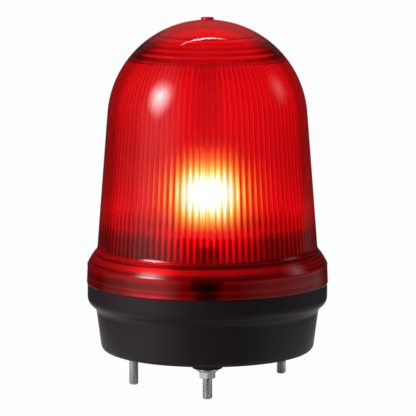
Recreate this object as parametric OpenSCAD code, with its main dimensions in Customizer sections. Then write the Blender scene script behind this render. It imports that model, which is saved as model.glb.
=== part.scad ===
// LED warning beacon: a ribbed red dome twisted onto a black cup that stands on three M5 studs.
// Millimetres, +Z up, origin at the centre of the cup's bottom face, front stud towards -Y.

/* [Lens] */
// widest diameter, at the foot of the lens ring
ring_d = 124.6; // [122:0.1:132]
// height of the lens from its foot to the top of the dome
lens_h = 134.6; // [125:0.1:150]
// draft of the lens wall, degrees
draft = 4.6; // [3.8:0.1:5.2]
// draft of the ring band, degrees
ring_draft = 2.6; // [2:0.1:3.4]
// height of the ring band below the shoulder
ring_h = 9.8; // [8.6:0.1:11]
// radius of the ring's rounded shoulder
shoulder_r = 30; // [24:1:40]
// angle of the edge between ring band and shoulder, degrees
shoulder_edge = 24; // [20:1:27]
// how far the lens wall stands in from the ring band
shoulder_in = 5.1; // [4.6:0.1:5.4]
// thickness of the ring's wall at its foot
ring_wall = 4.5; // [4:0.1:4.8]
// thickness of the lens wall outside the ribs
lens_wall = 3.8; // [3:0.1:4.2]
// depth of the ribs inside the lens
rib_depth = 0.6; // [0.4:0.1:1]
// number of ribs round the lens
rib_n = 104; // [72:1:120]
// radius where the ribs end and the rings of the cap begin
cap_r = 37; // [30:0.5:40]
// number of rings inside the cap
cap_rings = 5; // [3:1:6]
// depth of the rings inside the cap
cap_ring_depth = 0.5; // [0.3:0.1:0.9]
// radius of the smooth middle of the cap
cap_flat_r = 25; // [20:0.5:28]
// diameter of the moulding nub on top
nub_d = 6.3; // [4:0.1:8]
// height of the moulding nub
nub_h = 1.2; // [0.6:0.1:2]
// width of the flare at the nub's foot
nub_flare = 0.8; // [0.4:0.1:1.2]

/* [Twist lock] */
// angle covered by each lug of the lens, degrees
lug_deg = 16; // [12:1:17]
// height of the lugs
lug_t = 3.7; // [3:0.1:4.2]
// radial reach of the lugs from the inside of the ring
lug_reach = 5; // [4:0.1:5.5]
// angle the lens turns to come free, degrees
twist_deg = 24; // [23:1:28]
// thickness of the bars that hold the lugs down
bar_t = 3; // [2:0.1:3.4]
// how far the bars reach past the ends of the lugs, degrees
bar_past = 2; // [1:0.5:3]
// angle covered by each stop, degrees
stop_deg = 3; // [2:0.5:4]
// clearance of a lug from its bar and stops
lock_gap = 0.3; // [0.2:0.05:0.5]

/* [Cup] */
// height of the cup's rim
cup_h = 34.8; // [33:0.1:38]
// gap that the gasket leaves between rim and lens ring
lens_gap = 0.3; // [0.2:0.05:0.6]
// how far the lens ring overhangs the rim
overhang = 0.5; // [0.3:0.05:0.6]
// height of the rim band above the step
band_h = 6.9; // [6:0.1:7.5]
// height of the S-shaped step
step_h = 8.9; // [8:0.1:10]
// how far the wall comes in over the step
step_in = 4.7; // [4:0.1:5]
// width of flat bottom outside the stud circle
foot_edge = 6.8; // [6.2:0.1:7.6]
// radius of the bottom edge
foot_r = 3.2; // [2.5:0.1:3.6]
// thickness of the cup's wall
cup_wall = 2.6; // [2.2:0.1:2.8]
// thickness of the cup's floor
floor_t = 3; // [2.8:0.1:3.6]
// width of the rim outside the collar's flange
rim_wall = 2.5; // [2:0.1:2.8]
// width of the ledge that carries the collar's flange
ledge_w = 2.6; // [2:0.1:3]
// radius of the screw bosses and board posts
boss_r = 3.4; // [3:0.1:3.6]

/* [Collar] */
// height of the collar above the cup's rim
collar_h = 26.2; // [24:0.1:30]
// gap between the collar and the lens ribs
collar_gap = 2; // [1.6:0.1:2.6]
// thickness of the collar tube
collar_wall = 2.5; // [2:0.1:3]
// thickness of the collar's flange
flange_t = 3.6; // [3.2:0.1:4]
// thickness of the lens gasket
gasket_t = 1.5; // [1.2:0.1:2]
// width of the lens gasket
gasket_w = 2.3; // [1.8:0.1:2.6]

/* [Studs] */
// diameter of the circle through the three studs
stud_pcd = 90; // [86:0.5:92]
// thread diameter of the studs
stud_d = 5; // [4.8:0.1:5.2]
// length of the front stud below the cup
stud_front = 17.2; // [12:0.1:30]
// length of the right stud below the cup
stud_right = 17.7; // [12:0.1:30]
// length of the left stud below the cup
stud_left = 23.7; // [12:0.1:30]
// length of the studs above the inner nuts
stud_above = 1.5; // [0.5:0.1:3]
// chamfer at the studs' tips
stud_tip = 0.6; // [0.3:0.1:0.9]
// diameter of the sealing washers
seal_d = 15; // [13:0.1:15.4]
// how far the sealing washers stand out of their pockets
seal_out = 1.5; // [1:0.1:2]
// depth of the pockets that hold the sealing washers
pocket_h = 1.5; // [1:0.1:1.8]
// height of the clamping pads inside the cup
pad_h = 2; // [1:0.1:3]
// width across flats of the nuts
nut_af = 8; // [7.6:0.1:8.4]
// height of the flange nuts
nut_h = 5; // [4.6:0.1:6]
// diameter of the flange nuts' flange
nut_flange_d = 11.8; // [11:0.1:12.4]
// thickness of that flange at its edge
nut_flange_t = 1; // [0.8:0.1:1.4]
// height of the inner nuts
inner_nut_h = 4; // [3.5:0.1:4.5]
// diameter of the plain washers
washer_d = 10; // [9.5:0.1:11]
// thickness of the plain washers
washer_t = 1; // [0.8:0.1:1.2]

/* [Cable inlet] */
// diameter of the cable bore in the grommet
cable_d = 6.4; // [5:0.1:7]
// thickness of the grommet's neck
neck_t = 2.8; // [2.4:0.1:3.2]
// width of the grommet's flanges
grommet_w = 2.4; // [1.8:0.1:3]
// depth of the recess round the inlet
inlet_recess = 1.2; // [1:0.1:1.4]

/* [Driver board] */
// diameter of the circle through the board's posts
post_pcd = 72; // [66:0.5:74]
// width of board outside that circle
board_edge = 6; // [5:0.1:7]
// thickness of the boards
board_t = 1.6; // [1.2:0.1:2]
// height of the driver board above the floor
board_up = 13; // [11:0.1:15]
// distance of the capacitors and the choke from the axis
tall_x = 20; // [18:0.5:22]
// diameter of the filter capacitors
can_d = 10; // [8:0.1:11]
// height of the filter capacitors
can_h = 12; // [9:0.1:16]
// gap between the filter capacitors
can_gap = 2; // [1:0.1:3]
// diameter of the choke's flanges
choke_d = 12; // [10:0.1:13]
// height of the choke
choke_h = 8; // [6:0.1:10]
// length, width and height of a driver chip
chip = [6, 5, 1.8];
// length, width and height of the terminal block
terminal = [18, 10, 11];
// distance of the terminal block's outer face from the axis
terminal_y = 32; // [30:0.5:34]
// diameter of the terminal block's wire holes
wire_hole_d = 3.6; // [3:0.1:4]
// length, width and height of the loom socket
socket = [9, 7, 6];
// diameter of the loom
loom_d = 4.8; // [4:0.1:5.4]

/* [Light] */
// gap between the edges of the plate and of the collar
plate_gap = 0.6; // [0.2:0.1:1]
// thickness of the light plate
plate_t = 2; // [1.6:0.1:2.4]
// height of the bead on the light plate
bead_h = 1.3; // [1:0.1:2]
// width of that bead
bead_w = 1.8; // [1.4:0.1:2.2]
// width across flats of the LED post
led_post_af = 16; // [15:0.1:20]
// height of the LED post
led_post_h = 30; // [29:0.5:36]
// thickness of the post's foot
post_foot_t = 3; // [2.5:0.1:4]
// width of the post's foot outside the light sleeve
post_foot_w = 5.4; // [5:0.1:7]
// length of post left free above the side boards
side_edge = 1; // [0.5:0.1:1.5]
// distance between the two rows of side LEDs
led_row = 10; // [8:0.1:10.5]
// width of one LED package
led_w = 5; // [4:0.1:5.4]
// height of one LED package
led_t = 1.5; // [1:0.1:2]
// thickness of the side boards
side_t = 1.2; // [0.8:0.1:1.6]
// width left free at each edge of a post's flat
side_inset = 0.4; // [0.2:0.1:0.8]
// gap between the LEDs and the light sleeve
sleeve_gap = 0.4; // [0.3:0.1:1]
// thickness of the light sleeve
sleeve_t = 1.2; // [0.8:0.1:1.6]

/* [Screws] */
// diameter of the screw threads
screw_d = 3; // [2.8:0.1:3.2]
// diameter of the screw heads
screw_head_d = 5.5; // [5:0.1:5.6]
// height of the screw heads
screw_head_h = 2; // [1.5:0.1:2.4]
// length of the screws under the head
screw_len = 9; // [8:0.5:10]
// diameter of the LED post's screws
post_screw_d = 2.5; // [2:0.1:2.6]
// diameter of the top board's screws
top_screw_d = 2; // [1.6:0.1:2.2]

/* [Hidden] */
$fn = 96;
// overlap that joins two solids of one piece
eps = 0.01;
// overhang of a cutter past the face it opens
past = 1;
// radial clearance of a screw or stud in its hole
hole_gap = 0.3;
// radial clearance of a screw in its pilot hole
pilot_gap = 0.05;
// clearance of a piece dropped into a recess
drop_gap = 0.2;
// depth of the thread, as drawn where a nut grips a stud
thread_h = 0.2;
// radial clearance of a stud's gripped length in its nut
grip_gap = 0.05;

lock_dirs = [-90, 30, 150];
mid_dirs = [-30, 90, 210];
side_dirs = [0, 60, 120, 180, 240, 300];
foot_dirs = [0, 120, 240];
top_dirs = [30, 150, 270];

ring_r = ring_d / 2;
ring_z = cup_h + lens_gap;
ring_in = ring_r - ring_wall;
lens_top = ring_z + lens_h;
band_z = ring_z + ring_h;
band_r = ring_r - ring_h * tan(ring_draft);
wall_r = band_r - shoulder_in;
shoulder_x = band_r - shoulder_r * cos(shoulder_edge);
shoulder_z = band_z - shoulder_r * sin(shoulder_edge);
wall_z = shoulder_z + sqrt(pow(shoulder_r, 2) - pow(wall_r - shoulder_x, 2));
dome_r = (wall_r - (lens_top - wall_z) * tan(draft)) / (1 / cos(draft) - tan(draft));
dome_z = lens_top - dome_r;
dome_foot_r = dome_r * cos(draft);
dome_foot_z = dome_z + dome_r * sin(draft);
crest_r = dome_r - lens_wall - rib_depth;
cap_z = dome_z + sqrt(pow(crest_r, 2) - pow(cap_r, 2));
rib_foot_z = wall_z - lens_wall / 5;
mouth_r = wall_r - lens_wall + 2 * drop_gap;
throat_z = band_z + ring_h / 6;
dome_rows = 5;

rim_r = ring_r - overhang;
stud_pos = stud_pcd / 2;
step_top = cup_h - band_h;
step_bot = step_top - step_h;
waist_r = rim_r - step_in;
foot_x = stud_pos + foot_edge;
lean = atan((waist_r - foot_x - foot_r) / (step_bot - foot_r));
step_ang = 2 * atan(step_in / step_h);
step_r = step_h / 2 / sin(step_ang);
rebate_r = rim_r - rim_wall;
cup_in = rebate_r - ledge_w;
ledge_z = cup_h - flange_t;

collar_r = wall_r - lens_wall - rib_depth - collar_gap;
collar_top = cup_h + collar_h;
flange_r = rebate_r - drop_gap;
groove_z = ring_z - gasket_t;
gasket_r = flange_r - drop_gap / 2;
groove_r = gasket_r - gasket_w - drop_gap;
bar_r = min(groove_r, ring_in - lug_reach / 4) - drop_gap;
bar_z = throat_z - lock_gap - bar_t;
lug_z = bar_z - lock_gap - lug_t;
lug_r = ring_in - lug_reach;
lug_half = lug_deg / 2;
gap_deg = lock_gap / lug_r * 180 / PI;
open_deg = twist_deg + lug_half + gap_deg;

stud_below = [stud_front, stud_right, stud_left];
stud_r = stud_d / 2;
grip_r = stud_r - thread_h;
stud_hole_r = stud_r + hole_gap / 2;
pad_z = floor_t + pad_h;
pad_r = foot_edge + drop_gap;
nut_z = -seal_out - nut_h;
inner_nut_z = pad_z + washer_t;
inlet_r = cable_d / 2 + neck_t;

board_z = floor_t + board_up;
board_top = board_z + board_t;
post_pos = post_pcd / 2;
collar_screw_pos = (collar_r + bar_r) / 2;
collar_boss_h = screw_len - flange_t + 2;
plate_screw_pos = collar_r - collar_wall - boss_r - 1.4;
plate_boss_h = screw_len + screw_d;

plate_r = collar_r - plate_gap;
plate_top = collar_top + plate_t;
bead_r = plate_r - 1;
led_face = led_post_af / 2;
led_post_top = plate_top + led_post_h;
led_z = led_post_top - side_edge - led_row;
side_w = led_post_af * tan(30) - 2 * side_inset;
led_out = led_face + side_t + led_t;
sleeve_in = sqrt(pow(led_out, 2) + pow(led_w / 2, 2)) + sleeve_gap;
sleeve_r = sleeve_in + sleeve_t;
sleeve_z = plate_top + post_foot_t;
sleeve_dome_z = led_post_top + board_t + led_t + sleeve_gap;
post_foot_r = sleeve_r + post_foot_w;
post_screw_pos = sleeve_r + post_foot_w / 2;
top_screw_pos = led_face - 1.2 * top_screw_d;

// copies on a circle, each turned to face outward
module around(dirs, pos, z) {
    for (a = dirs) {
        rotate([0, 0, a]) translate([pos, 0, z]) children();
    }
}

// block of a ring between two radii and two angles
module ring_block(r0, r1, z, h, from, to) {
    rotate([0, 0, from]) rotate_extrude(angle = to - from) translate([r0, z]) square([r1 - r0, h]);
}

// cutter for a hole of depth h below z = 0, open at the top
module drill(d, h) {
    translate([0, 0, -h]) cylinder(d = d, h = h + past);
}

// pan-head screw with a hexagon socket, head seated on z = 0
module screw(d, head_d, head_h, len) {
    difference() {
        union() {
            cylinder(d = head_d, h = head_h);
            translate([0, 0, -len]) cylinder(d = d, h = len + eps);
        }
        translate([0, 0, head_h / 2]) cylinder(d = d * 0.7, h = head_h, $fn = 6);
    }
}

// hollow radius of the lens at height z, set in by s from the outside
function hollow_r(s, z) = z <= dome_z
    ? dome_r - s + (wall_r - dome_r) * (dome_z - z) / (dome_z - wall_z)
    : sqrt(pow(dome_r - s, 2) - pow(z - dome_z, 2));

// hollow with a ribbed wall: rows of points up the wall, two columns to a rib
module ribbed_hollow() {
    levels = concat([rib_foot_z - past],
        [for (k = [0:dome_rows]) dome_z + (cap_z + drop_gap - dome_z) * sin(90 * k / dome_rows)]);
    rows = len(levels);
    cols = 2 * rib_n;
    points = [for (z = levels) for (i = [0:cols - 1])
        let (r = hollow_r(lens_wall + (i % 2) * rib_depth, z), a = 360 * i / cols)
        [r * cos(a), r * sin(a), z]];
    sides = [for (k = [0:rows - 2]) for (i = [0:cols - 1]) for (upper = [true, false])
        let (low = k * cols, high = low + cols, j = (i + 1) % cols)
        upper ? [low + i, high + i, high + j] : [low + i, high + j, low + j]];
    bottom = [for (i = [0:cols - 1]) i];
    top = [for (i = [cols - 1:-1:0]) (rows - 1) * cols + i];
    polyhedron(points, concat(sides, [bottom, top]), convexity = 10);
}

// hollow of the cap with rings round a smooth middle, on a ledge where the ribs end
module cap_hollow() {
    ledge_r = hollow_r(lens_wall, cap_z) + 2 * drop_gap;
    edge = asin(cap_r / crest_r);
    steps = 2 * cap_rings - 1;
    step = (edge - asin(cap_flat_r / crest_r)) / steps;
    rings = [for (i = [1:steps])
        let (a = edge - i * step, s = crest_r + drop_gap + (i % 2) * cap_ring_depth)
        [s * sin(a), dome_z + s * cos(a)]];
    rotate_extrude() {
        polygon(concat([[0, cap_z], [ledge_r, cap_z]], rings, [[0, rings[steps - 1][1]]]));
        intersection() {
            translate([0, dome_z]) circle(r = crest_r);
            translate([0, cap_z]) square([crest_r, crest_r]);
        }
    }
}

// hollow of the ring, up to the foot of the ribs
module ring_hollow() {
    rotate_extrude() polygon([[0, ring_z - past], [ring_in, ring_z - past], [ring_in, throat_z],
        [mouth_r, rib_foot_z - drop_gap], [mouth_r, rib_foot_z], [0, rib_foot_z]]);
}

// half outline of the lens as a solid
module lens_outline() {
    nub_r = nub_d / 2;
    polygon([[0, ring_z], [ring_r, ring_z], [band_r, band_z], [wall_r, wall_z],
        [dome_foot_r, dome_foot_z], [0, dome_foot_z]]);
    intersection() {
        translate([shoulder_x, shoulder_z]) circle(r = shoulder_r);
        translate([0, band_z]) square([ring_r, wall_z - band_z]);
    }
    intersection() {
        translate([0, dome_z]) circle(r = dome_r);
        translate([0, dome_foot_z]) square([dome_r, dome_r]);
    }
    polygon([[0, lens_top - 1], [nub_r + nub_flare, lens_top - 1], [nub_r, lens_top + nub_h / 3],
        [nub_r, lens_top + nub_h], [0, lens_top + nub_h]]);
}

module lens() {
    color([0.85, 0.06, 0.08, 0.6]) {
        difference() {
            rotate_extrude() lens_outline();
            ribbed_hollow();
            cap_hollow();
            ring_hollow();
        }
        for (a = lock_dirs) {
            ring_block(lug_r, ring_in + ring_wall / 4, lug_z, lug_t, a - lug_half, a + lug_half);
        }
    }
}

module lens_gasket() {
    color([0.08, 0.08, 0.08]) rotate_extrude() translate([gasket_r - gasket_w, groove_z])
        square([gasket_w, gasket_t]);
}

// half outline of the cup as a solid
module cup_outline() {
    difference() {
        union() {
            polygon([[0, 0], [foot_x, 0], [foot_x + foot_r * cos(lean), foot_r - foot_r * sin(lean)],
                [waist_r, step_bot], [rim_r - step_in / 2, step_top - step_h / 2], [rim_r, step_top],
                [rim_r, cup_h], [0, cup_h]]);
            translate([rim_r - step_r, step_top]) circle(r = step_r);
            translate([foot_x, foot_r]) circle(r = foot_r);
        }
        translate([waist_r + step_r, step_bot]) circle(r = step_r);
    }
}

module base_cup() {
    pilot_d = screw_d + 2 * pilot_gap;
    color([0.12, 0.12, 0.13]) difference() {
        union() {
            difference() {
                rotate_extrude() cup_outline();
                rotate_extrude() polygon([[0, floor_t], [foot_x + foot_r - cup_wall, floor_t],
                    [waist_r - cup_wall, step_bot], [cup_in, step_top], [cup_in, ledge_z],
                    [rebate_r, ledge_z], [rebate_r, cup_h + past], [0, cup_h + past]]);
            }
            around(lock_dirs, stud_pos, floor_t - past) cylinder(r = pad_r, h = pad_h + past);
            around(mid_dirs, post_pos, floor_t - past) cylinder(r = boss_r, h = board_up + past);
            around(mid_dirs, collar_screw_pos, ledge_z - collar_boss_h)
                cylinder(r = boss_r, h = collar_boss_h);
        }
        around(lock_dirs, stud_pos, pad_z) drill(2 * stud_hole_r, pad_z + past);
        around(lock_dirs, stud_pos, -past) cylinder(d = seal_d + 2 * drop_gap, h = pocket_h + past);
        around(mid_dirs, post_pos, board_z) drill(pilot_d, screw_len);
        around(mid_dirs, collar_screw_pos, ledge_z) drill(pilot_d, screw_len - flange_t + 1);
        translate([0, 0, floor_t]) drill(2 * inlet_r, floor_t + past);
        translate([0, 0, inlet_recess]) mirror([0, 0, 1])
            cylinder(r = inlet_r + grommet_w + drop_gap, h = inlet_recess + past);
    }
}

// bar over a lug, stop behind the locked lug and stop where the lug is free
module lock_track() {
    ring_block(collar_r - past, bar_r, bar_z, bar_t, -lug_half - gap_deg - stop_deg, lug_half + bar_past);
    ring_block(collar_r - past, bar_r, cup_h - past, bar_z - cup_h + 2 * past,
        -lug_half - gap_deg - stop_deg, -lug_half - gap_deg);
    ring_block(collar_r - past, bar_r, cup_h - past, bar_z - cup_h + bar_t + past,
        open_deg, open_deg + stop_deg);
}

module lens_collar() {
    tube_in = collar_r - collar_wall;
    color([0.09, 0.09, 0.1]) difference() {
        union() {
            rotate_extrude() polygon([[tube_in, ledge_z], [flange_r, ledge_z], [flange_r, groove_z],
                [groove_r, groove_z], [groove_r, cup_h], [collar_r, cup_h], [collar_r, collar_top],
                [tube_in, collar_top]]);
            for (a = lock_dirs) {
                rotate([0, 0, a]) lock_track();
            }
            around(mid_dirs, plate_screw_pos, collar_top - plate_boss_h) {
                cylinder(r = boss_r, h = plate_boss_h);
                translate([0, -boss_r / 2, 0])
                    cube([tube_in + past - plate_screw_pos, boss_r, plate_boss_h]);
            }
        }
        around(mid_dirs, plate_screw_pos, collar_top) drill(screw_d + 2 * pilot_gap, screw_len);
        around(mid_dirs, collar_screw_pos, cup_h) drill(screw_d + 2 * hole_gap, flange_t + past);
    }
}

module collar_screws() {
    color([0.7, 0.7, 0.72]) around(mid_dirs, collar_screw_pos, cup_h)
        screw(screw_d, screw_head_d, screw_head_h, screw_len);
}

// stud drawn at its thread's outside below the flange nut, and thinner where the nuts grip it
module mounting_studs() {
    stud_top = inner_nut_z + inner_nut_h + stud_above;
    color([0.75, 0.75, 0.76]) for (i = [0:2]) {
        tip = -stud_below[i];
        around([lock_dirs[i]], stud_pos, 0) rotate_extrude() polygon([[0, tip], [stud_r - stud_tip, tip],
            [stud_r, tip + stud_tip], [stud_r, nut_z], [grip_r, nut_z], [grip_r, stud_top], [0, stud_top]]);
    }
}

module stud_flange_nuts() {
    hex_r = nut_af / 2 / cos(30);
    flange_r = nut_flange_d / 2;
    color([0.78, 0.78, 0.8]) around(lock_dirs, stud_pos, nut_z) difference() {
        union() {
            rotate([0, 0, 30]) cylinder(r = hex_r, h = nut_h - nut_flange_t / 2, $fn = 6);
            translate([0, 0, nut_h - nut_flange_t]) cylinder(r = flange_r, h = nut_flange_t);
            translate([0, 0, nut_h - 2 * nut_flange_t])
                cylinder(r1 = hex_r - thread_h, r2 = flange_r - thread_h, h = nut_flange_t + eps);
        }
        translate([0, 0, nut_h]) drill(2 * (grip_r + grip_gap), nut_h + past);
    }
}

module stud_seals() {
    seal_h = seal_out + pocket_h;
    color([0.06, 0.06, 0.06]) around(lock_dirs, stud_pos, -seal_out) difference() {
        cylinder(d = seal_d, h = seal_h);
        translate([0, 0, seal_h]) drill(2 * stud_hole_r, seal_h + past);
    }
}

module stud_washers() {
    color([0.75, 0.75, 0.76]) around(lock_dirs, stud_pos, pad_z) difference() {
        cylinder(d = washer_d, h = washer_t);
        translate([0, 0, washer_t]) drill(2 * stud_hole_r, washer_t + past);
    }
}

module stud_inner_nuts() {
    color([0.75, 0.75, 0.76]) around(lock_dirs, stud_pos, inner_nut_z) difference() {
        cylinder(d = nut_af / cos(30), h = inner_nut_h, $fn = 6);
        translate([0, 0, inner_nut_h]) drill(2 * (grip_r + grip_gap), inner_nut_h + past);
    }
}

module cable_grommet() {
    bore_r = cable_d / 2;
    neck_r = inlet_r - drop_gap / 2;
    lip_z = floor_t + grommet_w;
    color([0.07, 0.07, 0.07]) rotate_extrude() polygon([[bore_r, drop_gap],
        [inlet_r + grommet_w, drop_gap], [inlet_r + grommet_w, inlet_recess], [neck_r, inlet_recess],
        [neck_r, floor_t], [inlet_r + grommet_w, floor_t], [inlet_r + grommet_w / 2, lip_z],
        [bore_r, lip_z]]);
}

module driver_board() {
    color([0.1, 0.35, 0.16]) difference() {
        translate([0, 0, board_z]) cylinder(r = post_pos + board_edge, h = board_t);
        around(mid_dirs, post_pos, board_top) drill(screw_d + 2 * hole_gap, board_t + past);
    }
}

module board_screws() {
    color([0.7, 0.7, 0.72]) around(mid_dirs, post_pos, board_top)
        screw(screw_d, screw_head_d, screw_head_h, screw_len);
}

module filter_capacitors() {
    color([0.12, 0.16, 0.3]) for (side = [-1, 1]) {
        translate([-tall_x, side * (can_d + can_gap) / 2, board_top]) cylinder(d = can_d, h = can_h);
    }
}

module choke_coil() {
    flange_h = choke_h / 5;
    color([0.55, 0.3, 0.12]) translate([tall_x, choke_d / 2, board_top]) {
        cylinder(d = choke_d, h = flange_h);
        cylinder(d = choke_d * 0.8, h = choke_h);
        translate([0, 0, choke_h - flange_h]) cylinder(d = choke_d, h = flange_h);
    }
}

module driver_chips() {
    color([0.1, 0.1, 0.1]) for (k = [0:2]) {
        translate([tall_x - k * 2 * chip[0], -2.5 * chip[1], board_top]) cube(chip);
    }
}

module terminal_block() {
    color([0.15, 0.4, 0.2]) translate([-terminal[0] / 2, -terminal_y, board_top]) difference() {
        cube(terminal);
        for (x = [0.25, 0.75] * terminal[0]) {
            translate([x, -past, terminal[2] / 3]) rotate([-90, 0, 0])
                cylinder(d = wire_hole_d, h = terminal[1] * 0.7 + past);
            translate([x, terminal[1] / 2, terminal[2]])
                drill(wire_hole_d + 2 * hole_gap, terminal[2] / 3);
        }
    }
}

module terminal_screws() {
    screw_h = terminal[2] / 4;
    color([0.75, 0.75, 0.76]) for (side = [-1, 1]) {
        translate([side * terminal[0] / 4, terminal[1] / 2 - terminal_y, board_top + terminal[2] * 2 / 3])
            difference() {
                cylinder(d = wire_hole_d, h = screw_h);
                translate([-wire_hole_d, -hole_gap, screw_h - 1]) cube([2 * wire_hole_d, 2 * hole_gap, 2]);
            }
    }
}

module loom_socket() {
    color([0.9, 0.88, 0.8]) translate([-socket[0] / 2, -socket[1] / 2, board_top]) cube(socket);
}

module led_loom() {
    loom_z = board_top + socket[2];
    color([0.8, 0.1, 0.1]) translate([0, 0, loom_z]) cylinder(d = loom_d, h = led_post_top - loom_z);
}

module led_plate() {
    color([0.1, 0.1, 0.11]) difference() {
        union() {
            translate([0, 0, collar_top]) cylinder(r = plate_r, h = plate_t);
            rotate_extrude() translate([bead_r - bead_w, plate_top - eps]) square([bead_w, bead_h + eps]);
        }
        translate([0, 0, plate_top]) drill(loom_d + 2, plate_t + past);
        around(mid_dirs, plate_screw_pos, plate_top) drill(screw_d + 2 * hole_gap, plate_t + past);
        around(foot_dirs, post_screw_pos, plate_top) drill(post_screw_d + 2 * pilot_gap, plate_t + past);
    }
}

module plate_screws() {
    color([0.7, 0.7, 0.72]) around(mid_dirs, plate_screw_pos, plate_top)
        screw(screw_d, screw_head_d, screw_head_h, screw_len);
}

module led_post() {
    color([0.8, 0.81, 0.82]) translate([0, 0, plate_top]) difference() {
        union() {
            cylinder(r = post_foot_r, h = post_foot_t);
            rotate([0, 0, 30]) cylinder(d = led_post_af / cos(30), h = led_post_h, $fn = 6);
        }
        translate([0, 0, led_post_h]) drill(loom_d + 2 * hole_gap, led_post_h + past);
        around(foot_dirs, post_screw_pos, post_foot_t)
            drill(post_screw_d + 2 * hole_gap, post_foot_t + past);
        around(mid_dirs, top_screw_pos, led_post_h) drill(top_screw_d + 2 * pilot_gap, 3 * top_screw_d);
    }
}

module post_screws() {
    color([0.7, 0.7, 0.72]) around(foot_dirs, post_screw_pos, sleeve_z + sleeve_t)
        screw(post_screw_d, 1.8 * post_screw_d, 0.65 * post_screw_d, sleeve_t + post_foot_t + plate_t + 1);
}

// frosted sleeve with a round top over the LEDs, its flange under the heads of the post's screws
module light_sleeve() {
    color([1, 0.96, 0.88, 0.8]) difference() {
        rotate_extrude() {
            difference() {
                union() {
                    translate([0, sleeve_z]) square([sleeve_r, sleeve_dome_z - sleeve_z]);
                    intersection() {
                        translate([0, sleeve_dome_z]) circle(r = sleeve_r);
                        translate([0, sleeve_dome_z - eps]) square([sleeve_r, 2 * sleeve_r]);
                    }
                    translate([0, sleeve_z]) square([post_foot_r, sleeve_t]);
                }
                translate([0, sleeve_z - past]) square([sleeve_in, sleeve_dome_z - sleeve_z + past]);
                translate([0, sleeve_dome_z]) circle(r = sleeve_in);
            }
        }
        around(foot_dirs, post_screw_pos, sleeve_z + sleeve_t)
            drill(post_screw_d + 2 * hole_gap, sleeve_t + past);
    }
}

module side_boards() {
    color([0.93, 0.93, 0.9]) around(side_dirs, led_face, led_z - led_row)
        translate([0, -side_w / 2, 0]) cube([side_t, side_w, 2 * led_row]);
}

// LED package with a round window, back on x = 0, facing +X
module led_package() {
    difference() {
        translate([0, -led_w / 2, -led_w / 2]) cube([led_t, led_w, led_w]);
        translate([led_t * 0.8, 0, 0]) rotate([0, 90, 0]) cylinder(d = led_w * 0.75, h = led_t);
    }
}

module side_leds() {
    color([1, 0.9, 0.6]) for (row = [-1, 1]) {
        around(side_dirs, led_face + side_t, led_z + row * led_row / 2) led_package();
    }
}

module top_board() {
    color([0.93, 0.93, 0.9]) difference() {
        translate([0, 0, led_post_top]) cylinder(r = led_face + 1, h = board_t);
        around(mid_dirs, top_screw_pos, led_post_top + board_t)
            drill(top_screw_d + 2 * hole_gap, board_t + past);
    }
}

module top_leds() {
    color([1, 0.9, 0.6]) around(top_dirs, led_face - led_w / 2, led_post_top + board_t)
        rotate([0, -90, 0]) led_package();
}

module top_screws() {
    color([0.7, 0.7, 0.72]) around(mid_dirs, top_screw_pos, led_post_top + board_t)
        screw(top_screw_d, 1.7 * top_screw_d, 0.65 * top_screw_d, board_t + 2 * top_screw_d);
}

lens();
lens_gasket();
base_cup();
lens_collar();
collar_screws();
mounting_studs();
stud_flange_nuts();
stud_seals();
stud_washers();
stud_inner_nuts();
cable_grommet();
driver_board();
board_screws();
filter_capacitors();
choke_coil();
driver_chips();
terminal_block();
terminal_screws();
loom_socket();
led_loom();
led_plate();
plate_screws();
led_post();
post_screws();
light_sleeve();
side_boards();
side_leds();
top_board();
top_leds();
top_screws();
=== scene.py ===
import math

import bmesh
import bpy
from mathutils import Matrix, Vector


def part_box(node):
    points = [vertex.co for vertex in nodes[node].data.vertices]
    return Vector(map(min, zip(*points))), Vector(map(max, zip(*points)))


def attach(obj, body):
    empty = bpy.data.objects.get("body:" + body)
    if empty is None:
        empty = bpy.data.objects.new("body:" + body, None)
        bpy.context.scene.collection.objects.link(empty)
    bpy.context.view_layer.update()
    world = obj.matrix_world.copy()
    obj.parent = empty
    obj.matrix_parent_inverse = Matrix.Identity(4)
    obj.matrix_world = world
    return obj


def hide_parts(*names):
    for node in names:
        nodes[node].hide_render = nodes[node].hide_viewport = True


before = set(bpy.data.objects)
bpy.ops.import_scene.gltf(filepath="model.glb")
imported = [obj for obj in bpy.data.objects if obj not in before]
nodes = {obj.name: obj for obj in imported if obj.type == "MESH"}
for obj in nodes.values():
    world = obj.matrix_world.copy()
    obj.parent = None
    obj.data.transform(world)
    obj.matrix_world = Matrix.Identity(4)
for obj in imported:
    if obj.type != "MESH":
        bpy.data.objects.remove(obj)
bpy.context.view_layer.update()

# Sizes in millimetres, as in the part's source. Meshes are scaled to metres when they are finished.
MM = 0.001
RING_R, RING_Z, RING_H, RING_WALL = 62.3, 35.1, 9.8, 4.5
SHOULDER_R, SHOULDER_EDGE, SHOULDER_IN = 30.0, 24.0, 5.1
LENS_TOP = 169.7
LENS_WALL, RIB_DEPTH, RIBS = 3.8, 0.6, 104
CAP_R, CAP_FLAT_R, CAP_RINGS, CAP_RING_DEPTH = 37.0, 25.0, 5, 0.5
NUB_R, NUB_H, NUB_FLARE = 3.15, 1.2, 0.8
LUG_T, LUG_REACH, LUG_HALF, BAR_T, LOCK_GAP = 3.7, 5.0, 8.0, 3.0, 0.3
LOCK_DIRS = (-90, 30, 150)
STUD_POS, STUD_R, GRIP_R, STUD_TIP, STUD_TOP = 45.0, 2.5, 2.3, 0.6, 11.5
STUD_BELOW = (17.2, 17.7, 23.7)
NUT_Z, NUT_H, NUT_AF, NUT_FLANGE_R, NUT_FLANGE_T = -6.5, 5.0, 8.0, 5.9, 1.0
PITCH = 0.8
FLOOR_Z = -23.7

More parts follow.
